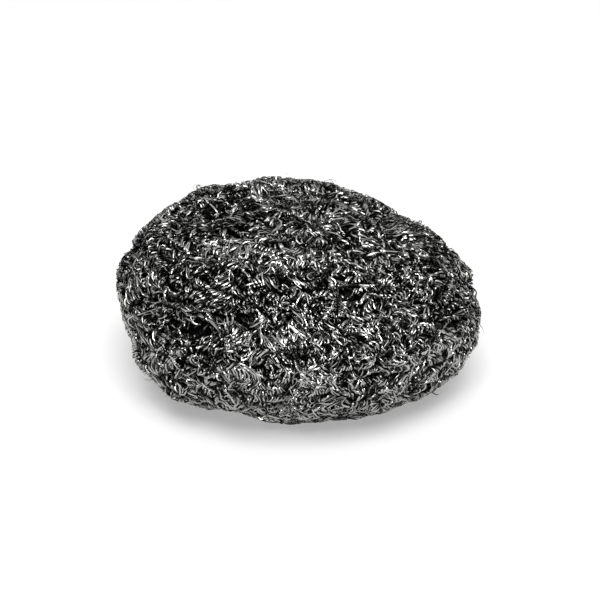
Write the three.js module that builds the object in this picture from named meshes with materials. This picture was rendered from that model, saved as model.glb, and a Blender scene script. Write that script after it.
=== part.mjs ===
// Wire scrubber: one long tube knitted from fine steel wire, rolled back on itself and gathered into an
// oval pad. Its turns, tucks and stitch puckers are one closed solid.
// Millimetres, +Z up. The origin is the middle of the flat underside, and the front of the pad faces -Y.
// A place on the pad is two angles in degrees: its azimuth, from +X towards +Y, and its angle from the top.
import * as THREE from "three";
import { ImprovedNoise } from "three/addons/math/ImprovedNoise.js";
import { mergeVertices } from "three/addons/utils/BufferGeometryUtils.js";

// Overall form of the pad, before it is gathered
const PAD_LENGTH = 89.5;
const PAD_DEPTH = 81.5;
const PAD_HEIGHT = 48.9; // before the pad settles on its underside
const SETTLING = 4; // height that its weight presses flat
const SQUARENESS = 2.23; // 2 is an ellipse in side view, and more is boxier
const RIGHT_END_THINNING = 0.19; // share of the upper half's height that is lost at the right end
const LEAN = 1.7; // degrees that the right end dips

// Waist furrow, where the outer turn of the tube tucks under the turn above it
const FURROW_DEPTH = 2.2;
const FURROW_HALF_WIDTH = 3.0;
const FURROW_STEPS = 240;
const FURROW_LINE = [
  [0, 68],
  [60, 71],
  [125, 66],
  [188, 64],
  [222, 75],
  [238, 73],
  [252, 66],
  [276, 60],
  [306, 53],
  [334, 61],
];

// Tucks between the turns, which sink, and swells of the turns, which rise: each one's rise and spread are
// shares of these two lengths
const FOLD_HEIGHT = 2;
const FOLD_SPREAD = 5;
const TUCKS_AND_SWELLS = [
  { azimuth: 177, fromTop: 40, rise: -1.3, spread: 0.8 },
  { azimuth: 183, fromTop: 27, rise: -1.3, spread: 0.8 },
  { azimuth: 150, fromTop: 13, rise: -1.2, spread: 0.76 },
  { azimuth: 313, fromTop: 4, rise: -1.3, spread: 0.84 },
  { azimuth: 22, fromTop: 24, rise: -1.2, spread: 0.76 },
  { azimuth: 0, fromTop: 29, rise: -1, spread: 0.7 },
  { azimuth: 290, fromTop: 45, rise: -1.1, spread: 0.7 },
  { azimuth: 238, fromTop: 74, rise: -1.4, spread: 0.9 },
  { azimuth: 254, fromTop: 67, rise: -0.8, spread: 0.7 },
  { azimuth: 277, fromTop: 61, rise: -0.7, spread: 0.7 },
  { azimuth: 193, fromTop: 100, rise: -0.75, spread: 1.4 },
  { azimuth: 1, fromTop: 79, rise: -1.4, spread: 0.8 },
  { azimuth: 40, fromTop: 53, rise: -0.5, spread: 1.8 },
  { azimuth: 243, fromTop: 131, rise: -0.45, spread: 1.4 },
  { azimuth: 304, fromTop: 129, rise: -0.35, spread: 1.6 },
  { azimuth: 281, fromTop: 132, rise: -0.5, spread: 1.3 },
  { azimuth: 62, fromTop: 58, rise: -1, spread: 0.92 },
  { azimuth: 112, fromTop: 58, rise: -1.2, spread: 0.96 },
  { azimuth: 140, fromTop: 88, rise: -1.5, spread: 1 },
  { azimuth: 98, fromTop: 36, rise: 0.5, spread: 2.2 },
  { azimuth: 178, fromTop: 79, rise: 0.25, spread: 1.2 },
  { azimuth: 225, fromTop: 122, rise: 0.7, spread: 1.3 },
  { azimuth: 350, fromTop: 94, rise: 0.7, spread: 1.2 },
  { azimuth: 10, fromTop: 68, rise: 0.6, spread: 1 },
  { azimuth: 69, fromTop: 40, rise: 0.3, spread: 1.2 },
  { azimuth: 332, fromTop: 113, rise: 0.4, spread: 1.4 },
  { azimuth: 52, fromTop: 63, rise: -0.35, spread: 1.2 },
  { azimuth: 272, fromTop: 123, rise: -0.5, spread: 1 },
  { azimuth: 14, fromTop: 82, rise: 0.35, spread: 0.9 },
  { azimuth: 152, fromTop: 66, rise: 0.25, spread: 2 },
  { azimuth: 209, fromTop: 107, rise: 0.3, spread: 0.9 },
  { azimuth: 222, fromTop: 115, rise: 0.45, spread: 1 },
  { azimuth: 238, fromTop: 120, rise: 0.45, spread: 1.2 },
  { azimuth: 318, fromTop: 117, rise: 0.25, spread: 2 },
  { azimuth: 343, fromTop: 103, rise: 0.65, spread: 1.3 },
];

// Uneven gathering of the tube
const LUMP_HEIGHT = 1.6;
const LUMP_SPAN = 8;

// Stitch puckers: small peaks of knitted wire, none next to another
const PUCKER_HEIGHT = 1;
const LEAST_PUCKER = 0.3; // the lowest pucker, as a share of the highest
const SURFACE_DIVISIONS = 22; // cuts along each edge of the icosahedron that the surface starts from
const SHUFFLE_SEED = 41;

const STEEL_GREY = 0x74756f;
const STEEL_ROUGHNESS = 0.42;
const STEEL_METALNESS = 0.9;

const Y_AXIS = new THREE.Vector3(0, 1, 0);
const leanAngle = THREE.MathUtils.degToRad(LEAN);
const halfLength = PAD_LENGTH / 2;
const halfDepth = PAD_DEPTH / 2;
const halfHeight = PAD_HEIGHT / 2;

// A point of the plain form, from the direction that it has on a unit sphere
function formPoint(direction) {
  const level = Math.hypot(direction.x, direction.y);
  const stretch = level > 0 ? level ** (2 / SQUARENESS - 1) : 0;
  const rise = Math.sign(direction.z) * Math.abs(direction.z) ** (2 / SQUARENESS);
  const along = stretch * direction.x;
  const across = stretch * direction.y;
  const thinning = rise > 0 ? 1 - RIGHT_END_THINNING * along : 1;
  const point = new THREE.Vector3(halfLength * along, halfDepth * across, halfHeight * rise * thinning);
  return point.applyAxisAngle(Y_AXIS, leanAngle);
}

// The way out of the plain form at a direction on the unit sphere
function formOutward(direction) {
  const level = Math.hypot(direction.x, direction.y);
  const side = level > 0 ? level ** (1 - 2 / SQUARENESS) : 0;
  const slope = Math.sign(direction.z) * Math.abs(direction.z) ** (2 - 2 / SQUARENESS);
  const outward = new THREE.Vector3(
    (side * direction.x) / halfLength,
    (side * direction.y) / halfDepth,
    slope / halfHeight,
  );
  return outward.normalize().applyAxisAngle(Y_AXIS, leanAngle);
}

// The direction on the unit sphere of a place on the pad
function directionOf(azimuth, fromTop) {
  const down = THREE.MathUtils.degToRad(fromTop);
  const around = THREE.MathUtils.degToRad(azimuth);
  return new THREE.Vector3(
    Math.sin(down) * Math.cos(around),
    Math.sin(down) * Math.sin(around),
    Math.cos(down),
  );
}

function bell(distance, spread) {
  return Math.exp(-((distance / spread) ** 2));
}

const furrowCorners = FURROW_LINE.map(([azimuth, fromTop]) => formPoint(directionOf(azimuth, fromTop)));
const furrowPath = new THREE.CatmullRomCurve3(furrowCorners, true).getSpacedPoints(FURROW_STEPS);
const folds = TUCKS_AND_SWELLS.map(({ azimuth, fromTop, rise, spread }) => ({
  centre: formPoint(directionOf(azimuth, fromTop)),
  rise: FOLD_HEIGHT * rise,
  spread: FOLD_SPREAD * spread,
}));
const gathering = new ImprovedNoise();

// How far the gathered tube lies outside the plain form at one of its points
function gatheredRise(point) {
  const toFurrow = Math.min(...furrowPath.map((place) => place.distanceTo(point)));
  const furrow = -FURROW_DEPTH * bell(toFurrow, FURROW_HALF_WIDTH);
  const heights = folds.map(({ centre, rise, spread }) => rise * bell(centre.distanceTo(point), spread));
  const folded = heights.reduce((sum, height) => sum + height, 0);
  const [x, y, z] = point.toArray().map((value) => value / LUMP_SPAN);
  return furrow + folded + LUMP_HEIGHT * gathering.noise(x, y, z);
}

// The neighbours of each vertex, from the triangles
function vertexNeighbours(geometry) {
  const neighbours = Array.from({ length: geometry.attributes.position.count }, () => new Set());
  const index = geometry.index.array;
  for (let start = 0; start < index.length; start += 3) {
    const corners = [index[start], index[start + 1], index[start + 2]];
    for (const corner of corners) {
      corners.filter((other) => other !== corner).forEach((other) => neighbours[corner].add(other));
    }
  }
  return neighbours;
}

// The height of the stitch pucker at each vertex, and 0 between puckers
function puckerHeights(geometry) {
  const neighbours = vertexNeighbours(geometry);
  const heights = new Array(neighbours.length).fill(0);
  THREE.MathUtils.seededRandom(SHUFFLE_SEED);
  const draws = neighbours.map((_, vertex) => ({ vertex, turn: THREE.MathUtils.seededRandom() }));
  draws.sort((first, second) => first.turn - second.turn);
  for (const { vertex } of draws) {
    const crowded = [...neighbours[vertex]].some((other) => heights[other] > 0);
    if (!crowded) {
      heights[vertex] = PUCKER_HEIGHT * THREE.MathUtils.lerp(LEAST_PUCKER, 1, THREE.MathUtils.seededRandom());
    }
  }
  return heights;
}

// The pad: the plain form, gathered and puckered, and pressed flat where it rests
function padGeometry() {
  const sphere = new THREE.IcosahedronGeometry(1, SURFACE_DIVISIONS);
  sphere.deleteAttribute("normal");
  sphere.deleteAttribute("uv");
  const geometry = mergeVertices(sphere);
  const positions = geometry.attributes.position;
  const puckers = puckerHeights(geometry);
  const points = [];
  let lowest = 0;
  for (let vertex = 0; vertex < positions.count; vertex += 1) {
    const direction = new THREE.Vector3().fromBufferAttribute(positions, vertex).normalize();
    const point = formPoint(direction);
    lowest = Math.min(lowest, point.z);
    const rise = gatheredRise(point) + puckers[vertex];
    points.push(point.addScaledVector(formOutward(direction), rise));
  }
  const floor = lowest + SETTLING;
  points.forEach((point, vertex) => {
    positions.setXYZ(vertex, point.x, point.y, Math.max(point.z, floor));
  });
  geometry.computeBoundingBox();
  const middle = geometry.boundingBox.getCenter(new THREE.Vector3());
  geometry.translate(-middle.x, -middle.y, -floor);
  geometry.computeVertexNormals();
  return geometry;
}

const steelWire = new THREE.MeshStandardMaterial({
  color: STEEL_GREY,
  roughness: STEEL_ROUGHNESS,
  metalness: STEEL_METALNESS,
});

const pad = new THREE.Mesh(padGeometry(), steelWire);
pad.name = "knitted_wire_pad";

const scrubber = new THREE.Group();
scrubber.add(pad);

export default scrubber;
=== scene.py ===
"""Wire scrubber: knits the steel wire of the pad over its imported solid, and sets its stage."""

import functools
import math
from typing import NamedTuple

import bmesh
import bpy
import numpy as np
from bpy.props import FloatProperty, FloatVectorProperty, IntProperty, PointerProperty
from bpy.types import Operator, Panel, PropertyGroup
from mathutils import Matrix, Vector
from mathutils.bvhtree import BVHTree


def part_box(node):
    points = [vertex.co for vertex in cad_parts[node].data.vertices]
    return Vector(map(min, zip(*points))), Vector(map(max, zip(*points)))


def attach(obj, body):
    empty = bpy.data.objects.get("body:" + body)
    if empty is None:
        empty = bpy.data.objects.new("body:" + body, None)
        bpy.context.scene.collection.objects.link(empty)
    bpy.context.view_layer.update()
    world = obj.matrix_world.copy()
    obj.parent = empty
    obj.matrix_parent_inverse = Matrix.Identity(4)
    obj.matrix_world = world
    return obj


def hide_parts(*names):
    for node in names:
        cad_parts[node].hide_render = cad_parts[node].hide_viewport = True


bl_info = {
    "name": "Wire Scrubber",
    "version": (1, 0, 0),
    "blender": (4, 5, 0),
    "location": "View3D > Sidebar > Scrubber",
    "description": "Knits a pad of fine steel wire and sets its stage",
    "category": "Add Mesh",
}

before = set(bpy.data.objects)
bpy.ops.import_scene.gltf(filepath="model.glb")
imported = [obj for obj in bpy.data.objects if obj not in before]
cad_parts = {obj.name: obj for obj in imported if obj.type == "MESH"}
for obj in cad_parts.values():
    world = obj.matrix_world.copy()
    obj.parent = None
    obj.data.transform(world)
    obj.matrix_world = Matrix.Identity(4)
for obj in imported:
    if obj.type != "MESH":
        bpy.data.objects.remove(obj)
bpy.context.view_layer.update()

PAD_NODE = "knitted_wire_pad"
PAD_BODY = "root"

MM = 0.001
FULL_TURN = 2 * math.pi
SAME_PLACE = 0.001 * MM  # points closer than this count as one
LEAST_LENGTH = 1e-12  # of a way, so that it can be divided by

# The runs of random draws that place the folds, the stray wires and the strands of the sheaves
FOLD_DRAWS = 1
STRAY_DRAWS = 2
SHEAF_DRAWS = 3

# Meshes of wire
WIRE_SIDES = 3  # corners of the flattened wire's section
FACE_CORNERS = 4
PINCHED_END = 0.05  # size of the section at a cut end of the wire, as a share of the rest
PIECE_POINTS = 33_000  # keeps a piece under 200,000 triangles, with two for each side of each point
HEIGHT = "height"  # the attribute that holds how far each point stands out of the pad, from which the material paints shade deep in the knit
WIRE_MAP = "OFBake"
MAP_SIDE = 1 / 1024  # width of one side of a wire on its map


class Turn(NamedTuple):
    """One turn of the knitted tube."""

    name: str
    depth: float
    points: int  # along the wire of one stitch
    opening: float  # of the pockets in it, as a share of the outer turn's


TURNS = (
    Turn("outer_turn", 0.1 * MM, 13, 1.0),
    Turn("second_turn", 0.7 * MM, 9, 0.5),
)
BANDS = ("upper", "middle", "lower")  # the pieces of each turn

# Azimuth and angle from the top in degrees, and radius in millimetres.
# The two rows of radius 1.4 are the notches at the left and right ends of the pad.
POCKETS = (
    (168, 60, 1.3),
    (179, 76, 1.4),
    (175, 78, 1.4),
    (171, 80, 1.4),
    (167, 82, 1.4),
    (163, 84, 1.4),
    (159, 86, 1.4),
    (1, 89, 1.4),
    (4, 91, 1.4),
    (8, 92, 1.4),
    (12, 94, 1.4),
    (16, 96, 1.4),
    (171, 47, 1.5),
    (134, 29, 1.1),
    (43, 12, 0.9),
    (32, 54, 0.9),
    (11, 59, 0.9),
    (292, 53, 0.9),
    (293, 65, 1.1),
    (232, 84, 1.9),
    (248, 76, 1.4),
    (313, 74, 0.9),
)

# Azimuth, angle from the top and turn in degrees, half length, half width and rise in millimetres
FOLDS = (
    (0, 0, 20, 9.0, 7.0, 0.3),
    (0, 180, 70, 9.0, 7.0, 0.0),
)

# Scattered folds: how much their turn varies, and the ranges of half length, half width and rise
FOLD_TURN = 0.6
FOLD_LENGTHS = (4 * MM, 8 * MM)
FOLD_WIDTHS = (2.7 * MM, 5 * MM)
FOLD_RISES = (0.1 * MM, 0.7 * MM)

# Azimuth, angle from the top and turn in degrees, radius and rise in millimetres, and the arc in degrees
STRAYS = (
    (97, 53, 0, 1.1, 0.9, -150, 150),
    (72, 55, 10, 1.7, -0.5, -85, 85),
    (69, 51, -15, 1.4, -0.2, -90, 80),
    (141, 62, 20, 1.0, 0.3, -110, 100),
    (139, 63, 60, 0.8, 0.4, -120, 80),
    (144, 59, -20, 1.1, 0.0, -60, 120),
    (171, 83, 90, 1.4, -0.7, -110, 110),
    (208, 108, 80, 2.2, -0.9, -30, 75),
    (345, 97, 90, 1.9, -0.4, -100, 35),
    (329, 114, 75, 2.0, -0.6, -40, 85),
)
STRAY_POINTS = 16

# Scattered stray loops: ranges of radius and rise, and their arc to each side of the way out
STRAY_RADII = (0.7 * MM, 1.5 * MM)
STRAY_RISES = (-0.9 * MM, -0.1 * MM)
STRAY_HALF_ARC = 2.0

# Scattered strands, which are drawn out flat: ranges of radius and half arc, and the height of their crests
STRAND_RADII = (3 * MM, 5 * MM)
STRAND_HALF_ARCS = (0.35, 0.55)
STRAND_CREST = 0.45 * MM

# Azimuth, angle from the top and turn in degrees, half length, half width and rise in millimetres,
# and number of strands
SHEAVES = (
    (13, 61, 62, 5.0, 3.5, 0.2, 90),
    (7, 69, 65, 5.0, 4.0, 0.3, 120),
    (351, 67, 62, 4.5, 3.5, 0.2, 70),
    (3, 79, 80, 4.0, 3.0, 0.3, 60),
    (182, 66, -76, 4.0, 3.0, 0.4, 60),
    (197, 80, 24, 4.0, 3.0, 0.0, 50),
    (208, 88, 23, 4.0, 3.0, 0.0, 50),
    (229, 77, 25, 3.4, 2.2, 0.1, 18),
    (238, 90, 65, 2.4, 2.4, -0.5, 24),
    (266, 85, 50, 2.2, 3.2, 0.3, 22),
    (274, 86, 55, 2.2, 3.2, 0.3, 22),
    (282, 86, -55, 2.2, 3.2, 0.3, 22),
    (290, 87, -50, 2.2, 3.2, 0.3, 22),
)
SHEAF_POINTS = 9

# Inner turns: passes of smoothing that take the puckers off them, and the strength of each
HEART_PASSES = 6
HEART_SMOOTHING = 0.5

# Dulled stretches of the wire: how many to the metre, and the range of the noise over which it dulls
DULL_SCALE = 170.0
DULL_DETAIL = 3.0
DULL_RANGE = (0.35, 0.65)
BRIGHT_GLOSS = -0.06  # what bright stretches add to the roughness
DULL_SPREAD = 0.12  # how much rougher the dull ones are
UNDERSIDE_SHADE_CREST = 0.25  # share of the painted shade of the underside that reaches the crests of the wire

# Look of the inner turns, as a net of wires round gaps
INNER_GAPS = 700.0  # to the metre
INNER_WIRE = 0.12  # from the middle of a wire to its edge, where a gap is 1 wide
INNER_GAP_SHADE = 0.25  # painted shade in the gaps, as a share of the wires' colour
INNER_RELIEF = 0.8
INNER_RELIEF_HEIGHT = 0.4 * MM
INNER_METALLIC = 0.6
INNER_ROUGHNESS = 0.55

# Numbers of a Mix node's sockets for colours: its three inputs and its output
MIX_SHARE = 0
MIX_LOW = 6
MIX_HIGH = 7
MIX_COLOUR = 2


class Lamp(NamedTuple):
    """A square lamp that shines at the origin."""

    name: str
    place: tuple
    size: float
    power: str  # the setting of the stage that holds it


LAMPS = (
    Lamp("key_lamp", (0.0, -0.5, 0.95), 0.7, "key_power"),
    Lamp("top_lamp", (0.0, 0.6, 1.2), 2.0, "top_power"),
    Lamp("fill_lamp", (0.4, -1.25, 0.3), 0.4, "fill_power"),
)
FLOOR_REACH = 4.0  # from its middle to each side
FLOOR_GLOW = 0.3  # what the floor adds to its brightness where it is seen

# In millimetres
CAMERA_LENS = 120
CAMERA_SENSOR = 36
CAMERA_AIM = (0.35, -1.90, 21.1)


class KnitSettings(PropertyGroup):
    """The wire and its stitches."""

    wire_width: FloatProperty(
        name="Wire width", description="Width of the flattened wire",
        default=0.34 * MM, min=0.05 * MM, unit="LENGTH", precision=5,
    )
    wire_thickness: FloatProperty(
        name="Wire thickness", description="Thickness of the flattened wire",
        default=0.04 * MM, min=0.02 * MM, unit="LENGTH", precision=5,
    )
    stitch_width: FloatProperty(
        name="Stitch width", description="Room that one loop takes along its course",
        default=1.25 * MM, min=0.3 * MM, unit="LENGTH", precision=5,
    )
    course_pitch: FloatProperty(
        name="Course pitch", description="Distance between one course of loops and the next",
        default=2.3 * MM, min=0.3 * MM, unit="LENGTH", precision=5,
    )
    loop_height: FloatProperty(
        name="Loop height", description="Reach of a loop across its course",
        default=2.9 * MM, min=0.3 * MM, unit="LENGTH", precision=5,
    )
    leg_arch: FloatProperty(
        name="Leg arch", description="How far the legs of a loop bow out between its head and foot",
        default=1.0 * MM, unit="LENGTH", precision=5,
    )
    heart_depth: FloatProperty(
        name="Heart depth", description="Distance from the outer turn in to the crowded inner turns",
        default=2.6 * MM, unit="LENGTH", precision=5,
    )
    pockets: IntProperty(
        name="Pockets", description="Number of scattered holes between the wires", default=130, min=0,
    )
    folds: IntProperty(name="Folds", description="Number of scattered small folds", default=40, min=0)
    strays: IntProperty(name="Strays", description="Number of scattered stray loops", default=24, min=0)
    strands: IntProperty(
        name="Strands", description="Number of scattered strands drawn out along the pad", default=150, min=0,
    )
    seed: IntProperty(name="Seed", description="Start of every random draw", default=7, min=0)


class SteelSettings(PropertyGroup):
    """The colour of the wire: its own steel, and the shade painted into it deep in the knit and towards the
    underside.
    """

    # The steel's own colour, bright or dull at random, where no painted shade lies
    bright: FloatVectorProperty(
        name="Bright steel", description="Colour where the wire is clean",
        default=(0.49, 0.495, 0.475), subtype="COLOR", min=0, max=1,
    )
    dull: FloatVectorProperty(
        name="Dull steel", description="Colour where the wire has dulled",
        default=(0.36, 0.364, 0.349), subtype="COLOR", min=0, max=1,
    )
    # Painted shade: the dark colour that the wire takes deep between other wires, the depth from which it is
    # fully dark, and the height from which it keeps its own steel
    deep_shade: FloatVectorProperty(
        name="Deep painted shade", description="Colour of the wire deep between others, where it has tarnished",
        default=(0.014, 0.014, 0.013), subtype="COLOR", min=0, max=1,
    )
    full_shade_depth: FloatProperty(
        name="Full shade depth", description="Depth from which the wire has tarnished all over",
        default=0.95 * MM, unit="LENGTH", precision=5,
    )
    unshaded_height: FloatProperty(
        name="Unshaded height", description="Height from which the wire is clean",
        default=0.4 * MM, unit="LENGTH", precision=5,
    )
    # Painted shade towards the underside: how high above the floor it reaches, and how much nearer the crests
    # it brings the shade of the knit there
    underside_shade_height: FloatProperty(
        name="Underside shade height", description="Height above the floor that the tarnish of the underside reaches",
        default=13 * MM, unit="LENGTH", precision=5,
    )
    underside_shade_rise: FloatProperty(
        name="Underside shade", description="How much nearer the tarnish comes to the crests at the underside",
        default=0.85 * MM, unit="LENGTH", precision=5,
    )
    # Painted shade: the inner turns are steel like the rest, painted near black because little light reaches
    # them
    inner_shade: FloatVectorProperty(
        name="Inner painted shade", description="Colour of the inner turns, which little light reaches",
        default=(0.004, 0.004, 0.004), subtype="COLOR", min=0, max=1,
    )
    roughness: FloatProperty(
        name="Roughness", description="Mean roughness of the wire",
        default=0.18, min=0, max=1, subtype="FACTOR",
    )


class StageSettings(PropertyGroup):
    """The floor, the light and the camera."""

    floor_colour: FloatVectorProperty(
        name="Floor", description="Colour of the floor",
        default=(0.75, 0.75, 0.75), subtype="COLOR", min=0, max=1,
    )
    key_power: FloatProperty(
        name="Key lamp", description="Power of the lamp above the front", default=10.0, unit="POWER",
    )
    top_power: FloatProperty(
        name="Top lamp", description="Power of the broad lamp above", default=12.0, unit="POWER",
    )
    fill_power: FloatProperty(
        name="Fill lamp", description="Power of the lamp before the pad", default=8.0, unit="POWER",
    )
    sky_light: FloatProperty(
        name="Sky", description="Strength of the light from all around", default=0.02, min=0,
    )
    elevation: FloatProperty(
        name="Elevation", description="Angle that the camera looks down at",
        default=math.radians(28), subtype="ANGLE",
    )
    distance: FloatProperty(
        name="Distance", description="From the camera to the point it aims at",
        default=0.4988, unit="LENGTH",
    )


def unit(vectors):
    lengths = np.linalg.norm(vectors, axis=-1, keepdims=True)
    return vectors / np.maximum(lengths, LEAST_LENGTH)


def radians(*angles):
    return [math.radians(angle) for angle in angles]


def bell(distance, spread):
    return np.exp(-((distance / spread) ** 2))


class Patch(NamedTuple):
    """A point of the pad's surface, the way out of it there, and two square ways along it."""

    centre: np.ndarray
    outward: np.ndarray
    ahead: np.ndarray
    aside: np.ndarray

    def spots(self, run, drop):
        """The points this far ahead and aside, on the plane that touches the pad at the patch."""
        return self.centre + np.multiply.outer(run, self.ahead) + np.multiply.outer(drop, self.aside)


class Pocket(NamedTuple):
    """A small hole between the wires."""

    centre: np.ndarray
    outward: np.ndarray
    radius: float


class Fold(NamedTuple):
    """A small fold of the tube that stands on the outer turn, with its rows ahead on its patch."""

    patch: Patch
    length: float  # half of it along its rows
    width: float  # half of it across them
    rise: float


class Loop(NamedTuple):
    """A stray arc of wire over its patch, from start to end as angles from the way out."""

    patch: Patch
    radius: float
    rise: float
    start: float
    end: float


class Sheaf(NamedTuple):
    """Strands that lie drawn out ahead on a patch of the outer turn, which they press in."""

    patch: Patch
    length: float  # half of it along its strands
    width: float  # half of it across them
    rise: float
    strands: int


class Wire(NamedTuple):
    """A run of flattened wire."""

    points: np.ndarray
    places: np.ndarray  # where each point lies on the pad: shares of a turn, and of the way down
    facing: np.ndarray  # the way that the flat side looks at each point
    twist: np.ndarray  # the turn of the flat side away from that, in radians
    height: np.ndarray  # of each point above the pad's surface
    closed: bool


class PadSurface:
    """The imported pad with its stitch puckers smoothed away, from its top to its underside.

    A place on it is an azimuth and a share, from 0 at the top to 1 in the middle of the underside.
    """

    columns = 360
    rows = 240
    softening = 5  # passes that smooth the puckers away
    edge = 0.006  # the share nearest to the top and the underside that a wire reaches
    floor_gap = 0.17 * MM

    def __init__(self):
        self.shares = np.linspace(0, 1, self.rows)
        self.centre, rays, radii = self.cast()
        radii = self.soften(radii, self.softening)
        self.spread(self.centre + rays * radii[..., None])

    def cast(self):
        """The rays out of the middle of the pad, and how far its surface is along each."""
        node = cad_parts[PAD_NODE]
        corners = [vertex.co.copy() for vertex in node.data.vertices]
        tree = BVHTree.FromPolygons(corners, [tuple(face.vertices) for face in node.data.polygons])
        low, high = (Vector(corner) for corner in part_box(PAD_NODE))
        centre = (low + high) / 2
        reach = (high - low).length
        around, down = np.meshgrid(
            np.arange(self.columns) * FULL_TURN / self.columns, self.shares * math.pi, indexing="ij"
        )
        rays = np.stack([np.sin(down) * np.cos(around), np.sin(down) * np.sin(around), np.cos(down)], 2)
        radii = np.empty(rays.shape[:2])
        for place in np.ndindex(radii.shape):
            ray = Vector(rays[place])
            hit = tree.ray_cast(centre + ray * reach, -ray)[0]
            radii[place] = (hit - centre).length
        return np.array(centre), rays, radii

    @staticmethod
    def soften(radii, passes):
        for _ in range(passes):
            radii = (np.roll(radii, 1, 0) + 2 * radii + np.roll(radii, -1, 0)) / 4
            ends = np.pad(radii, ((0, 0), (1, 1)), mode="edge")
            radii = (ends[:, :-2] + 2 * ends[:, 1:-1] + ends[:, 2:]) / 4
        return radii

    def spread(self, points):
        """Spaces each meridian's points evenly, and finds the way out and the angle from the top at each."""
        steps = np.linalg.norm(np.diff(points, axis=1), axis=2)
        travelled = np.concatenate([np.zeros((self.columns, 1)), np.cumsum(steps, axis=1)], axis=1)
        self.meridian = travelled[:, -1].mean()
        self.points = np.empty_like(points)
        for column, way in enumerate(travelled):
            for axis in range(3):
                places = self.shares * way[-1]
                self.points[column, :, axis] = np.interp(places, way, points[column, :, axis])
        along = np.roll(self.points, -1, 0) - np.roll(self.points, 1, 0)
        self.outward = unit(np.cross(np.gradient(self.points, axis=1), along))
        self.outward[:, 0] = (0, 0, 1)
        self.outward[:, -1] = (0, 0, -1)
        self.rings = np.linalg.norm(along, axis=2).sum(0) / 2
        self.angles = self.angles_to(self.points)[1]

    def angles_to(self, points):
        """The azimuths of these points and their angles from the top, seen from the middle of the pad."""
        offsets = points - self.centre
        azimuth = np.arctan2(offsets[..., 1], offsets[..., 0])
        return azimuth, np.arctan2(np.hypot(offsets[..., 0], offsets[..., 1]), offsets[..., 2])

    def ring(self, share):
        """Length of the course at a share."""
        return np.interp(share, self.shares, self.rings)

    def at(self, azimuth, share):
        """The points at these places, and the ways out of the pad there."""
        column = np.mod(azimuth / FULL_TURN, 1) * self.columns
        row = np.clip(share, 0, 1) * (self.rows - 1)
        left = np.floor(column).astype(int)
        top = np.minimum(np.floor(row).astype(int), self.rows - 2)
        right_share = (column - left)[:, None]
        low_share = (row - top)[:, None]
        left = left % self.columns
        right = (left + 1) % self.columns

        def blend(grid):
            upper = grid[left, top] * (1 - right_share) + grid[right, top] * right_share
            lower = grid[left, top + 1] * (1 - right_share) + grid[right, top + 1] * right_share
            return upper * (1 - low_share) + lower * low_share

        return blend(self.points), unit(blend(self.outward))

    def under(self, points):
        """The places that lie under these points, as seen from the middle of the pad."""
        azimuth, from_top = self.angles_to(points)
        column = np.mod(azimuth / FULL_TURN, 1) * self.columns
        left = np.floor(column).astype(int)

        def shares_in(columns):
            meridians = self.angles[columns % self.columns]
            return np.array([np.interp(*pair, self.shares) for pair in zip(from_top, meridians)])

        right_share = column - left
        return azimuth, shares_in(left) * (1 - right_share) + shares_in(left + 1) * right_share

    def place(self, azimuth, from_top):
        """The point at these two angles, as seen from the middle of the pad, and the way out there."""
        level = math.sin(from_top)
        way = np.array([level * math.cos(azimuth), level * math.sin(azimuth), math.cos(from_top)])
        points, outward = self.at(*self.under(self.centre + way[None]))
        return points[0], outward[0]

    def patch(self, azimuth, from_top, turned):
        """The patch at these two angles, turned this far from its course towards the underside."""
        centre, outward = self.place(azimuth, from_top)
        course = np.array([-math.sin(azimuth), math.cos(azimuth), 0])
        course = unit(course - (course @ outward) * outward)
        down = np.cross(course, outward)
        ahead = course * math.cos(turned) + down * math.sin(turned)
        return Patch(centre, outward, ahead, np.cross(ahead, outward))

    def scatter(self, draws, count):
        """Points strewn evenly over the pad, and the ways out of it there."""
        shares = np.interp(draws.uniform(0, self.rings.sum(), count), np.cumsum(self.rings), self.shares)
        return self.at(draws.uniform(0, FULL_TURN, count), shares)

    def scatter_angles(self, draws, count):
        """The azimuth and the angle from the top of each of the points strewn over the pad."""
        return zip(*self.angles_to(self.scatter(draws, count)[0]))

    def keep_off_floor(self, points):
        points[:, 2] = np.maximum(points[:, 2], self.floor_gap)


@functools.cache
def pad_surface():
    return PadSurface()


class Drift:
    """A smooth random value over space, about 0."""

    waves = 24
    lengths = (0.7, 1.5)  # range of the waves' lengths, as shares of the span

    def __init__(self, draws, size, span):
        ways = unit(draws.normal(size=(self.waves, 3)))
        lengths = span * draws.uniform(*self.lengths, self.waves)
        self.turns = ways * (FULL_TURN / lengths)[:, None]
        self.starts = draws.uniform(0, FULL_TURN, self.waves)
        self.size = size * math.sqrt(2 / self.waves)

    def __call__(self, points):
        return self.size * np.cos(points @ self.turns.T + self.starts).sum(1)


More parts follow.
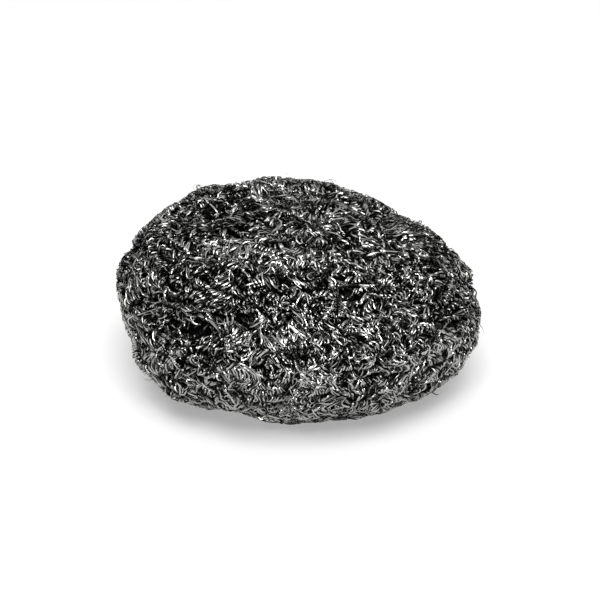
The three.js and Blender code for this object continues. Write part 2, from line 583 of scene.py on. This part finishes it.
class Pockets:
    """Small holes between the wires, which bend round them and dive into them."""

    spacing = 5 * MM  # least distance between scattered pockets
    radii = (0.4 * MM, 0.8 * MM)  # range of the scattered pockets'
    tries = 20  # places that are drawn for each scattered pocket

    # Shares of a pocket's radius
    reach = 4  # within which it moves the wires
    parting = 0.75  # how far the wires over its middle move aside
    parting_reach = 2
    plunge = 1.4  # how deep they dive
    lip_height = 0.12
    lip_place = 1.7
    lip_width = 0.6

    def __init__(self, surface, settings):
        draws = np.random.default_rng(settings.seed)
        self.holes = []
        for around, down, radius in POCKETS:
            self.holes.append(Pocket(*surface.place(*radians(around, down)), radius * MM))
        wanted = len(POCKETS) + settings.pockets
        for point, outward in zip(*surface.scatter(draws, self.tries * settings.pockets)):
            radius = draws.uniform(*self.radii)
            apart = min(np.linalg.norm(point - hole.centre) - hole.radius for hole in self.holes)
            if apart > self.spacing and len(self.holes) < wanted:
                self.holes.append(Pocket(point, outward, radius))

    def bend(self, points, heights, share):
        """Bends the wire through these points, round this share of each pocket's radius."""
        for centre, outward, radius in self.holes:
            size = share * radius
            offsets = points - centre
            near = np.flatnonzero((offsets ** 2).sum(1) < (self.reach * size) ** 2)
            height = offsets[near] @ outward
            flat = offsets[near] - height[:, None] * outward
            away = np.linalg.norm(flat, axis=1)
            parted = (self.parting * size) ** 2 * bell(away, self.parting_reach * size)
            opened = np.sqrt(away ** 2 + parted)
            dive = self.plunge * size * bell(away, size)
            lip = self.lip_height * size * bell(opened - self.lip_place * size, self.lip_width * size)
            flat *= (opened / np.maximum(away, SAME_PLACE))[:, None]
            points[near] = centre + flat + (height + lip - dive)[:, None] * outward
            heights[near] += lip - dive


class Sheaves:
    """Bundles of strands that are drawn out of the knit, and lie side by side along it."""

    sink = 0.7 * MM  # how far the strands press in the knit below them
    dive = 0.9 * MM  # how far the ends of a strand go down between the loops
    mean_bow = 0.5 * MM
    bow_drift = (0.6 * MM, 5 * MM)  # how much the bow varies, and over which span
    middles = (-0.8, 0.8)  # ranges of the strands' places, and of half their length, as shares of the sheaf's
    levels = (-1, 1)
    halves = (0.35, 0.7)
    heights = (-0.25 * MM, 0.1 * MM)
    uneven_turn = 0.3
    mean_twist = -0.3
    uneven_twist = 0.9

    def __init__(self, surface, settings):
        self.surface = surface
        self.draws = np.random.default_rng((settings.seed, SHEAF_DRAWS))
        self.bow = Drift(self.draws, *self.bow_drift)
        self.bundles = []
        for around, down, turned, length, width, rise, strands in SHEAVES:
            patch = surface.patch(*radians(around, down, turned))
            self.bundles.append(Sheaf(patch, length * MM, width * MM, rise * MM, strands))

    def pressing(self, points):
        """How far the knit is pressed in at these points."""
        depth = np.zeros(len(points))
        for sheaf in self.bundles:
            centre, outward, ahead, aside = sheaf.patch
            offsets = points - centre
            span = ((offsets @ ahead) / sheaf.length) ** 2 + ((offsets @ aside) / sheaf.width) ** 2
            span = span + ((offsets @ outward) / sheaf.length) ** 2
            depth = depth + self.sink * np.exp(-span ** 2)
        return depth

    def wires(self):
        return [self.strand(sheaf) for sheaf in self.bundles for _ in range(sheaf.strands)]

    def strand(self, sheaf):
        """A strand at a random place in its sheaf, bowed and a little turned."""
        middle = sheaf.length * self.draws.uniform(*self.middles)
        level = sheaf.width * self.draws.uniform(*self.levels)
        half = sheaf.length * self.draws.uniform(*self.halves)
        turned = self.draws.normal(0, self.uneven_turn)
        rise = sheaf.rise + self.draws.uniform(*self.heights)
        twist = np.full(SHEAF_POINTS, self.draws.normal(self.mean_twist, self.uneven_twist))
        share = np.linspace(-1, 1, SHEAF_POINTS)
        spot = sheaf.patch.spots(middle, level)
        bow = (self.mean_bow + self.bow(spot[None])[0]) * (1 - share ** 2)
        run = half * share * math.cos(turned) - bow * math.sin(turned)
        drop = half * share * math.sin(turned) + bow * math.cos(turned)
        azimuth, place = self.surface.under(sheaf.patch._replace(centre=spot).spots(run, drop))
        points, outward = self.surface.at(azimuth, place)
        height = rise - self.dive * share ** 4
        points = points + outward * height[:, None]
        self.surface.keep_off_floor(points)
        places = np.stack([np.unwrap(azimuth) / FULL_TURN, place], 1)
        return Wire(points, places, outward, twist, height, False)


class Knit:
    """Loops of wire, in courses round a whole turn of the tube or in the rows of a small fold."""

    neck = 2.1  # how far the legs of a loop close in, 0 for straight legs
    crest = 0.3 * MM  # height that the arcs of the loops stand out to
    flattened_range = (9 * MM, 23 * MM)  # heights over which the weight of the pad flattens the arcs
    flattened_arch = (0.65, 1.0)
    level = 0.45 * MM  # the height at which pressing has levelled the arcs off
    give = 0.15 * MM  # the range of heights over which they level off

    # Which side of the knit shows: above 0 the legs stand out, and below it the heads and feet
    mean_side = 0.55
    side_change = 2.5  # how sharply one side gives way to the other
    most_side = 0.9

    # What varies over the pad: how much, and over which span
    lift_drift = (0.15 * MM, 4 * MM)
    side_drift = (0.6, 7 * MM)
    sway_drift = (0.8 * MM, 9 * MM)
    lean_drift = (0.85, 5 * MM)
    loose_drift = (0.2 * MM, 12 * MM)
    bunch_drift = (0.4 * MM, 4.5 * MM)
    bow_drift = (0.35 * MM, 7 * MM)
    reach_drift = (0.16, 8 * MM)
    twist_drift = (0.3, 6 * MM)
    most_lean = 1.1
    most_lift = 0.2 * MM

    # What varies from one head, leg or foot to the next
    stitch_places = 4  # the head, the foot and the two legs of a stitch
    mean_loose = 0.2 * MM
    loose_range = (0.03 * MM, 0.45 * MM)  # how far they stray along their course
    uneven_reach = 0.12
    uneven_arch = 0.3
    uneven_place = 0.12 * MM
    uneven_twist = 0.7

    end_margin = 1.2  # from the top and the underside to the nearest courses, in pitches
    least_stitches = 5  # in a course
    least_fold = 2  # rows in a fold, and stitches in such a row
    least_row = 0.1  # the square of the shortest row's share of the fold's length
    fold_edge = 0.9 * MM  # how far the edge of a fold dives under the turn below it
    fold_end = 1.3  # the square of how far out, in shares of the fold's size, the edge stops diving

    def __init__(self, surface, settings, pockets, sheaves, turn, order):
        self.surface = surface
        self.settings = settings
        self.pockets = pockets
        self.sheaves = sheaves
        self.turn = turn
        shared = np.random.default_rng(settings.seed)
        self.draws = np.random.default_rng((settings.seed, order))
        self.lift = Drift(shared, *self.lift_drift)
        self.side = Drift(shared, *self.side_drift)
        self.sway = Drift(self.draws, *self.sway_drift)
        self.lean = Drift(self.draws, *self.lean_drift)
        self.loose = Drift(self.draws, *self.loose_drift)
        self.bunch = Drift(self.draws, *self.bunch_drift)
        self.bow = Drift(self.draws, *self.bow_drift)
        self.reach = Drift(self.draws, *self.reach_drift)
        self.twist = Drift(self.draws, *self.twist_drift)

    def courses(self):
        """The closed courses round the pad, from its top to its underside."""
        pitch = self.settings.course_pitch / self.surface.meridian
        shares = np.arange(self.end_margin * pitch, 1 - self.end_margin * pitch, pitch)
        return [self.course(share) for share in shares]

    def course(self, share):
        stitches = max(self.least_stitches, round(self.surface.ring(share) / self.settings.stitch_width))
        stitch = np.arange(stitches * self.turn.points) / self.turn.points
        azimuth = FULL_TURN * stitch / stitches + self.draws.uniform(0, FULL_TURN)
        shares = np.full(len(stitch), share)
        here = self.surface.at(azimuth, shares)[0]
        along, across, out, twist = self.loops(stitch, stitches, here)
        shares = np.clip(shares + across / self.surface.meridian, self.surface.edge, 1 - self.surface.edge)
        azimuth = azimuth + along * FULL_TURN / self.surface.ring(shares)
        return self.lay(azimuth, shares, out - self.turn.depth, twist, True)

    def fold(self, fold):
        """The rows of loops over a small fold of the tube, which stands on the turn below it."""
        settings = self.settings
        rows = max(self.least_fold, round(2 * fold.width / settings.course_pitch))
        wires = []
        for row in range(rows):
            level = (row + 0.5 - rows / 2) * settings.course_pitch
            half_row = fold.length * math.sqrt(max(self.least_row, 1 - (level / fold.width) ** 2))
            stitches = max(self.least_fold, round(2 * half_row / settings.stitch_width))
            stitch = np.arange(stitches * self.turn.points + 1) / self.turn.points
            run = (2 * stitch / stitches - 1) * half_row
            here = fold.patch.spots(run, level)
            along, across, out, twist = self.loops(stitch, stitches, here)
            run = run + along
            drop = level + across
            flat = fold.patch.spots(run, drop)
            crown = 1 - np.minimum((run / fold.length) ** 2 + (drop / fold.width) ** 2, self.fold_end)
            out = out + (fold.rise + self.fold_edge) * crown - self.fold_edge
            wires.append(self.lay(*self.surface.under(flat), out, twist, False))
        return wires

    def lay(self, azimuth, share, out, twist, closed):
        """A wire that stands this far out of the pad at these places, bent round the pockets."""
        points, outward = self.surface.at(azimuth, share)
        points = points + outward * out[:, None]
        height = out.copy()
        self.pockets.bend(points, height, self.turn.opening)
        self.surface.keep_off_floor(points)
        places = np.stack([azimuth / FULL_TURN, share], 1)
        return Wire(points, places, outward, twist, height, closed)

    def loops(self, stitch, stitches, here):
        """How a run of loops lies about its course: along it, across it and out, and how it twists.

        Each loop runs up a leg, over its head, down a leg and round its foot. On one side of the knit
        the legs stand out, and on the other the heads and feet.
        """
        settings = self.settings
        swing = FULL_TURN * stitch
        swell = 1 + self.reach(here) + self.uneven_reach * self.uneven(stitch, stitches)
        reach = settings.loop_height / 2 * swell
        across = reach * np.cos(swing) + self.sway(here) + self.uneven_place * self.uneven(stitch, stitches)
        lean = np.clip(self.lean(here), -self.most_lean, self.most_lean)
        loose = np.clip(self.mean_loose + self.loose(here), *self.loose_range)
        along = (
            self.neck * settings.stitch_width / (2 * FULL_TURN) * np.sin(2 * swing)
            + lean * reach * np.cos(swing)
            + self.bunch(here)
            - self.bow(here) * np.cos(2 * swing)
            + loose * self.uneven(stitch, stitches)
        )
        side = self.most_side * np.tanh(self.side_change * (self.mean_side + self.side(here)))
        flattened = np.interp(here[:, 2], self.flattened_range, self.flattened_arch)
        arch = settings.leg_arch * side * flattened * (1 + self.uneven_arch * self.uneven(stitch, stitches))
        crest = self.crest + np.minimum(self.lift(here), self.most_lift) - self.sheaves.pressing(here)
        out = crest - np.abs(arch) - arch * np.cos(2 * swing)
        out = self.pressed(out + self.uneven_place * self.uneven(stitch, stitches))
        twist = self.twist(here) + self.uneven_twist * self.uneven(stitch, stitches)
        return along, across, out, twist

    def pressed(self, out):
        """Levels off what stands out the furthest, as the handled pad does."""
        return self.level - self.give * np.logaddexp(0, (self.level - out) / self.give)

    def uneven(self, stitch, stitches):
        """A random value at each head, leg and foot, eased along the wire between them."""
        count = self.stitch_places * stitches
        values = self.draws.normal(size=count)
        place = self.stitch_places * stitch
        before = np.floor(place).astype(int)
        share = place - before
        share = share * share * (3 - 2 * share)
        return values[before % count] * (1 - share) + values[(before + 1) % count] * share


def all_folds(surface, settings):
    """The folds at the top and the underside, and those scattered over the pad."""
    folds = []
    for around, down, turned, length, width, rise in FOLDS:
        patch = surface.patch(*radians(around, down, turned))
        folds.append(Fold(patch, length * MM, width * MM, rise * MM))
    draws = np.random.default_rng((settings.seed, FOLD_DRAWS))
    for azimuth, from_top in surface.scatter_angles(draws, settings.folds):
        patch = surface.patch(azimuth, from_top, draws.normal(0, FOLD_TURN))
        sizes = [draws.uniform(*sizes) for sizes in (FOLD_LENGTHS, FOLD_WIDTHS, FOLD_RISES)]
        folds.append(Fold(patch, *sizes))
    return folds


def all_loops(surface, settings):
    """The stray loops at their places, and the loops and the strands scattered over the pad."""
    loops = []
    for around, down, turned, radius, rise, start, end in STRAYS:
        patch = surface.patch(*radians(around, down, turned))
        loops.append(Loop(patch, radius * MM, rise * MM, *radians(start, end)))
    draws = np.random.default_rng((settings.seed, STRAY_DRAWS))
    for azimuth, from_top in surface.scatter_angles(draws, settings.strays):
        radius = draws.uniform(*STRAY_RADII)
        patch = surface.patch(azimuth, from_top, draws.uniform(0, math.pi))
        rise = draws.uniform(*STRAY_RISES)
        loops.append(Loop(patch, radius, rise, -STRAY_HALF_ARC, STRAY_HALF_ARC))
    for azimuth, from_top in surface.scatter_angles(draws, settings.strands):
        radius = draws.uniform(*STRAND_RADII)
        patch = surface.patch(azimuth, from_top, draws.uniform(0, math.pi))
        half_arc = draws.uniform(*STRAND_HALF_ARCS)
        loops.append(Loop(patch, radius, STRAND_CREST - radius, -half_arc, half_arc))
    return loops


def loop_wire(surface, loop):
    """An arc of wire that stands out of the pad."""
    patch = loop.patch
    bend = np.linspace(loop.start, loop.end, STRAY_POINTS)
    round_way = np.sin(bend)[:, None] * patch.ahead + np.cos(bend)[:, None] * patch.outward
    points = patch.centre + loop.rise * patch.outward + loop.radius * round_way
    surface.keep_off_floor(points)
    azimuth, share = surface.under(points)
    places = np.stack([np.unwrap(azimuth) / FULL_TURN, share], 1)
    height = loop.rise + loop.radius * np.cos(bend)
    return Wire(points, places, round_way, np.zeros(STRAY_POINTS), height, False)


def wire_profile(width, thickness):
    """The section of the flattened wire: a flat back between two edges, and a low ridge before it."""
    curve = bpy.data.curves.new("wire_profile", "CURVE")
    spline = curve.splines.new("POLY")
    spline.points.add(WIRE_SIDES - 1)
    corners = ((width / 2, 0), (0, -thickness), (-width / 2, 0))
    for point, (across, out) in zip(spline.points, corners):
        point.co = (across, out, 0, 1)
    spline.use_cyclic_u = True
    return bpy.data.objects.new("wire_profile", curve)


def flat_tilts(wire):
    """The tilt at each point, from a level section, that turns the flat side the way it faces."""
    ahead = unit(np.roll(wire.points, -1, 0) - wire.points)
    behind = np.roll(ahead, 1, 0)
    if not wire.closed:
        ahead[-1] = behind[-1]
        behind[0] = ahead[0]
    way = unit(ahead + behind)
    level = unit(np.stack([way[:, 1], -way[:, 0], np.zeros(len(way))], 1))
    upright = np.cross(way, level)
    tilt = np.arctan2((wire.facing * upright).sum(1), (wire.facing * level).sum(1))
    return tilt - math.pi / 2 + wire.twist


def wire_mesh(name, wires, profile):
    """A mesh of flattened wires, with a map on which each lies at its place on the pad."""
    curve = bpy.data.curves.new(name, "CURVE")
    curve.dimensions = "3D"
    curve.twist_mode = "Z_UP"
    curve.bevel_mode = "OBJECT"
    curve.bevel_object = profile
    for wire in wires:
        spline = curve.splines.new("POLY")
        spline.points.add(len(wire.points) - 1)
        spline.points.foreach_set("co", np.c_[wire.points, np.ones(len(wire.points))].ravel())
        spline.points.foreach_set("tilt", flat_tilts(wire))
        spline.use_cyclic_u = wire.closed
        if not wire.closed:
            spline.points[0].radius = PINCHED_END
            spline.points[-1].radius = PINCHED_END
    holder = bpy.data.objects.new(name, curve)
    bpy.context.scene.collection.objects.link(holder)
    mesh = bpy.data.meshes.new_from_object(holder.evaluated_get(bpy.context.evaluated_depsgraph_get()))
    bpy.data.objects.remove(holder)
    bpy.data.curves.remove(curve)
    mesh.name = name
    mesh.shade_smooth()
    sharpen_edges(mesh)
    map_wires(mesh, np.concatenate([wire.places for wire in wires]))
    heights = np.repeat(np.concatenate([wire.height for wire in wires]), WIRE_SIDES)
    mesh.attributes.new(HEIGHT, "FLOAT", "POINT").data.foreach_set("value", heights.astype(np.float32))
    return mesh


def sharpen_edges(mesh):
    """Keeps the two edges of the flattened wire crisp."""
    ends = np.empty(2 * len(mesh.edges), int)
    mesh.edges.foreach_get("vertices", ends)
    side = ends.reshape(-1, 2) % WIRE_SIDES
    crisp = (side[:, 0] == side[:, 1]) & (side[:, 0] % 2 == 0)
    mesh.edges.foreach_set("use_edge_sharp", crisp)


def map_wires(mesh, places):
    """Unrolls each wire as a narrow strip at its places, which the mesh holds in the same order."""
    if len(mesh.vertices) != WIRE_SIDES * len(places):
        raise RuntimeError(f"{mesh.name} has {len(mesh.vertices)} vertices for {len(places)} places")
    corners = np.empty(len(mesh.loops), int)
    mesh.loops.foreach_get("vertex_index", corners)
    corners = corners.reshape(-1, FACE_CORNERS)
    side = corners % WIRE_SIDES
    side = np.where((side == 0) & (side.max(1, keepdims=True) == WIRE_SIDES - 1), WIRE_SIDES, side)
    heading = unit(np.roll(places, -1, 0) - places)
    aside = np.stack([-heading[:, 1], heading[:, 0]], 1)
    point = corners // WIRE_SIDES
    first = point.min(1, keepdims=True)
    spot = places[point]
    spot[..., 0] += np.round(places[first][..., 0] - spot[..., 0])
    spot = spot + aside[first] * (side[..., None] * MAP_SIDE)
    spot[..., 0] = spot[..., 0] - np.floor(spot[..., 0].mean(1, keepdims=True))
    layer = mesh.uv_layers.new(name=WIRE_MAP)
    layer.uv.foreach_set("vector", spot.astype(np.float32).ravel())


def add_piece(mesh, material):
    """A piece of the pad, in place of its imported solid."""
    mesh.materials.append(material)
    piece = bpy.data.objects.new(mesh.name, mesh)
    bpy.context.scene.collection.objects.link(piece)
    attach(piece, PAD_BODY)
    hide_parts(PAD_NODE)


def add_wires(scene, name, wires):
    """A piece that is made of these wires."""
    count = sum(len(wire.points) for wire in wires)
    if count > PIECE_POINTS:
        raise RuntimeError(f"{name} has {count} points")
    settings = scene.scrubber_knit
    profile = wire_profile(settings.wire_width, settings.wire_thickness)
    add_piece(wire_mesh(name, wires, profile), steel_wire(scene.scrubber_steel))
    section = profile.data
    bpy.data.objects.remove(profile)
    bpy.data.curves.remove(section)


class Value:
    """A number in a shader: the sums and products of these add Math nodes."""

    def __init__(self, shader, socket):
        self.shader = shader
        self.socket = socket

    def math(self, operation, *values):
        return self.shader.node("ShaderNodeMath", {"operation": operation}, dict(enumerate(values)))

    def __add__(self, other):
        return self.math("ADD", self, other)

    def __radd__(self, other):
        return self.math("ADD", other, self)

    def __sub__(self, other):
        return self.math("SUBTRACT", self, other)

    def __rsub__(self, other):
        return self.math("SUBTRACT", other, self)

    def __mul__(self, other):
        return self.math("MULTIPLY", self, other)

    def __rmul__(self, other):
        return self.math("MULTIPLY", other, self)

    def either(self, other):
        return self.math("MAXIMUM", self, other)

    def of(self, name):
        """Another output of the same node."""
        return Value(self.shader, self.socket.node.outputs[name])


def opaque(colour):
    """A colour with its alpha, or the socket of a colour as it is."""
    return colour if isinstance(colour, Value) else (*colour, 1)


class Shader:
    """The nodes of a material or of the world."""

    def __init__(self, owner):
        owner.use_nodes = True
        self.tree = owner.node_tree
        self.tree.nodes.clear()

    def node(self, kind, settings=None, inputs=None, output=0):
        """Adds a node: its settings come first, then the values or links of its sockets."""
        made = self.tree.nodes.new(kind)
        for name, setting in (settings or {}).items():
            setattr(made, name, setting)
        for name, value in (inputs or {}).items():
            if isinstance(value, Value):
                self.tree.links.new(value.socket, made.inputs[name])
            else:
                made.inputs[name].default_value = value
        return Value(self, made.outputs[output]) if made.outputs else None

    def blend(self, share, low, high):
        """A colour between two."""
        sockets = {MIX_SHARE: share, MIX_LOW: opaque(low), MIX_HIGH: opaque(high)}
        return self.node("ShaderNodeMix", {"data_type": "RGBA"}, sockets, MIX_COLOUR)


def steel_wire(steel):
    """Flattened steel wire: bright, with duller stretches, and painted shade where it lies deep between
    others and towards the underside.
    """
    name = "Steel wire"
    material = bpy.data.materials.get(name)
    if material:
        return material
    material = bpy.data.materials.new(name)
    shader = Shader(material)
    place = shader.node("ShaderNodeTexCoord", output="Object")
    patches = shader.node(
        "ShaderNodeTexNoise", inputs={"Vector": place, "Scale": DULL_SCALE, "Detail": DULL_DETAIL}
    )
    dull_from, dull_to = DULL_RANGE
    dulled = shader.node(
        "ShaderNodeMapRange", inputs={"Value": patches, "From Min": dull_from, "From Max": dull_to}
    )
    # Painted shade: the deeper a point lies between other wires, the darker its colour
    height = shader.node("ShaderNodeAttribute", {"attribute_name": HEIGHT}, output="Fac")
    level = shader.node("ShaderNodeSeparateXYZ", inputs={"Vector": place}, output="Z")
    smooth = {"interpolation_type": "SMOOTHSTEP"}
    # Painted shade towards the underside: low on the pad the shade reaches nearer the crests of the wire
    underside_shade = shader.node(
        "ShaderNodeMapRange",
        smooth,
        {"Value": level, "From Max": steel.underside_shade_height, "To Min": steel.underside_shade_rise, "To Max": 0.0},
    )
    darkened = underside_shade - steel.full_shade_depth
    unshaded_from = UNDERSIDE_SHADE_CREST * underside_shade + steel.unshaded_height
    # How far the wire is out of its painted shade, from 0 in full shade to 1 for its own steel
    clear = shader.node(
        "ShaderNodeMapRange", smooth, {"Value": height, "From Min": darkened, "From Max": unshaded_from}
    )
    unshaded = shader.blend(dulled, steel.bright, steel.dull)
    colour = shader.blend(clear, steel.deep_shade, unshaded)
    roughness = steel.roughness + BRIGHT_GLOSS + DULL_SPREAD * dulled
    finish = shader.node(
        "ShaderNodeBsdfPrincipled", inputs={"Base Color": colour, "Metallic": 1.0, "Roughness": roughness}
    )
    shader.node("ShaderNodeOutputMaterial", inputs={"Surface": finish})
    return material


def shaded_inner_turns(steel):
    """The crowded inner turns, which show only as dark knit between the outer wires: steel like the rest,
    painted near black as shade, and darker still in the gaps of the knit.
    """
    material = bpy.data.materials.new("Shaded inner turns")
    shader = Shader(material)
    place = shader.node("ShaderNodeTexCoord", output="Object")
    cells = shader.node(
        "ShaderNodeTexVoronoi", {"feature": "DISTANCE_TO_EDGE"}, {"Vector": place, "Scale": INNER_GAPS}
    )
    wires = shader.node(
        "ShaderNodeMapRange",
        inputs={"Value": cells, "From Min": 0.0, "From Max": INNER_WIRE, "To Min": 1.0, "To Max": 0.0},
    )
    # Painted shade: the gaps between the inner wires are darker than the wires
    gap_shade = [INNER_GAP_SHADE * part for part in steel.inner_shade]
    colour = shader.blend(wires, gap_shade, steel.inner_shade)
    relief = shader.node(
        "ShaderNodeBump",
        inputs={"Height": wires, "Strength": INNER_RELIEF, "Distance": INNER_RELIEF_HEIGHT},
    )
    finish = shader.node(
        "ShaderNodeBsdfPrincipled",
        inputs={
            "Base Color": colour,
            "Metallic": INNER_METALLIC,
            "Roughness": INNER_ROUGHNESS,
            "Normal": relief,
        },
    )
    shader.node("ShaderNodeOutputMaterial", inputs={"Surface": finish})
    return material


class SCRUBBER_OT_inner_turns(Operator):
    """Make the crowded inner turns of the tube as one body, painted dark as shade"""

    bl_idname = "scrubber.inner_turns"
    bl_label = "Inner Turns"

    def execute(self, context):
        knit = context.scene.scrubber_knit
        form = bmesh.new()
        form.from_mesh(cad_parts[PAD_NODE].data)
        bmesh.ops.remove_doubles(form, verts=form.verts, dist=SAME_PLACE)
        for _ in range(HEART_PASSES):
            bmesh.ops.smooth_vert(
                form, verts=form.verts, factor=HEART_SMOOTHING,
                use_axis_x=True, use_axis_y=True, use_axis_z=True,
            )
        form.normal_update()
        for vertex in form.verts:
            vertex.co -= vertex.normal * knit.heart_depth
        mesh = bpy.data.meshes.new("inner_turns")
        form.to_mesh(mesh)
        form.free()
        mesh.shade_smooth()
        add_piece(mesh, shaded_inner_turns(context.scene.scrubber_steel))
        return {"FINISHED"}


class SCRUBBER_OT_knitted_turns(Operator):
    """Knit the outer turns of the tube"""

    bl_idname = "scrubber.knitted_turns"
    bl_label = "Knitted Turns"

    def execute(self, context):
        settings = context.scene.scrubber_knit
        surface = pad_surface()
        pockets = Pockets(surface, settings)
        sheaves = Sheaves(surface, settings)
        for order, turn in enumerate(TURNS):
            courses = Knit(surface, settings, pockets, sheaves, turn, order).courses()
            ends = np.cumsum([len(wire.points) for wire in courses])
            band_of = (ends - 1) * len(BANDS) // ends[-1]
            for number, band in enumerate(BANDS):
                wires = [wire for wire, own in zip(courses, band_of) if own == number]
                add_wires(context.scene, f"{turn.name}_{band}", wires)
        return {"FINISHED"}


class SCRUBBER_OT_small_folds(Operator):
    """Lay small folds of the tube over its outer turn"""

    bl_idname = "scrubber.small_folds"
    bl_label = "Small Folds"

    def execute(self, context):
        settings = context.scene.scrubber_knit
        surface = pad_surface()
        pockets = Pockets(surface, settings)
        knit = Knit(surface, settings, pockets, Sheaves(surface, settings), TURNS[0], len(TURNS))
        wires = [wire for fold in all_folds(surface, settings) for wire in knit.fold(fold)]
        add_wires(context.scene, "small_folds", wires)
        return {"FINISHED"}


class SCRUBBER_OT_stray_loops(Operator):
    """Lay the wires that have worked loose: stray loops, strands and sheaves of strands"""

    bl_idname = "scrubber.stray_loops"
    bl_label = "Stray Loops"

    def execute(self, context):
        settings = context.scene.scrubber_knit
        surface = pad_surface()
        wires = [loop_wire(surface, loop) for loop in all_loops(surface, settings)]
        add_wires(context.scene, "stray_loops", wires + Sheaves(surface, settings).wires())
        return {"FINISHED"}


class SCRUBBER_OT_stage(Operator):
    """Set the floor, the light and the camera"""

    bl_idname = "scrubber.stage"
    bl_label = "Stage"

    def execute(self, context):
        stage = context.scene.scrubber_stage
        self.floor(stage)
        self.sky(context.scene, stage)
        for lamp in LAMPS:
            self.lamp(lamp, getattr(stage, lamp.power))
        self.camera(context.scene, stage)
        context.scene.view_settings.view_transform = "Standard"
        return {"FINISHED"}

    @staticmethod
    def seen(shader):
        """1 for what the camera sees, straight or in a surface, and 0 for light on the object."""
        path = shader.node("ShaderNodeLightPath", output="Is Camera Ray")
        return path.either(path.of("Is Glossy Ray")).either(path.of("Is Transmission Ray"))

    def floor(self, stage):
        form = bmesh.new()
        bmesh.ops.create_grid(form, x_segments=1, y_segments=1, size=FLOOR_REACH)
        mesh = bpy.data.meshes.new("floor")
        form.to_mesh(mesh)
        form.free()
        material = bpy.data.materials.new("Pale floor")
        shader = Shader(material)
        ground = shader.node("ShaderNodeBsdfDiffuse", inputs={"Color": opaque(stage.floor_colour)})
        glow = shader.node("ShaderNodeEmission", inputs={"Strength": FLOOR_GLOW * self.seen(shader)})
        both = shader.node("ShaderNodeAddShader", inputs={0: ground, 1: glow})
        shader.node("ShaderNodeOutputMaterial", inputs={"Surface": both})
        mesh.materials.append(material)
        floor = bpy.data.objects.new("floor", mesh)
        bpy.context.scene.collection.objects.link(floor)

    @staticmethod
    def sky(scene, stage):
        scene.world = bpy.data.worlds.new("Studio")
        shader = Shader(scene.world)
        sky = shader.node(
            "ShaderNodeBackground", inputs={"Color": (1, 1, 1, 1), "Strength": stage.sky_light}
        )
        shader.node("ShaderNodeOutputWorld", inputs={"Surface": sky})

    @staticmethod
    def lamp(lamp, power):
        light = bpy.data.lights.new(lamp.name, "AREA")
        light.size = lamp.size
        light.energy = power
        holder = bpy.data.objects.new(lamp.name, light)
        holder.location = lamp.place
        holder.rotation_euler = (-Vector(lamp.place)).to_track_quat("-Z", "Y").to_euler()
        bpy.context.scene.collection.objects.link(holder)

    @staticmethod
    def camera(scene, stage):
        camera = bpy.data.cameras.new("camera")
        camera.lens = CAMERA_LENS
        camera.sensor_width = CAMERA_SENSOR
        holder = bpy.data.objects.new("camera", camera)
        back = Vector((0, -math.cos(stage.elevation), math.sin(stage.elevation)))
        holder.location = Vector(CAMERA_AIM) * MM + back * stage.distance
        holder.rotation_euler = (-back).to_track_quat("-Z", "Y").to_euler()
        scene.collection.objects.link(holder)
        scene.camera = holder


class SCRUBBER_PT_sidebar(Panel):
    """The scrubber's pieces and settings"""

    bl_label = "Wire Scrubber"
    bl_space_type = "VIEW_3D"
    bl_region_type = "UI"
    bl_category = "Scrubber"

    def draw(self, context):
        for name in SETTINGS:
            group = getattr(context.scene, name)
            box = self.layout.box()
            for field in group.__annotations__:
                box.prop(group, field)
        for operator in OPERATORS:
            self.layout.operator(operator.bl_idname)


SETTINGS = {
    "scrubber_knit": KnitSettings,
    "scrubber_steel": SteelSettings,
    "scrubber_stage": StageSettings,
}
OPERATORS = (
    SCRUBBER_OT_inner_turns,
    SCRUBBER_OT_knitted_turns,
    SCRUBBER_OT_small_folds,
    SCRUBBER_OT_stray_loops,
    SCRUBBER_OT_stage,
)
CLASSES = (*SETTINGS.values(), *OPERATORS, SCRUBBER_PT_sidebar)


def register():
    for made in CLASSES:
        bpy.utils.register_class(made)
    for name, group in SETTINGS.items():
        setattr(bpy.types.Scene, name, PointerProperty(type=group))


def unregister():
    for name in SETTINGS:
        delattr(bpy.types.Scene, name)
    for made in reversed(CLASSES):
        bpy.utils.unregister_class(made)


def main():
    register()
    bpy.ops.scrubber.inner_turns()
    bpy.ops.scrubber.knitted_turns()
    bpy.ops.scrubber.small_folds()
    bpy.ops.scrubber.stray_loops()
    bpy.ops.scrubber.stage()


if __name__ == "__main__":
    main()
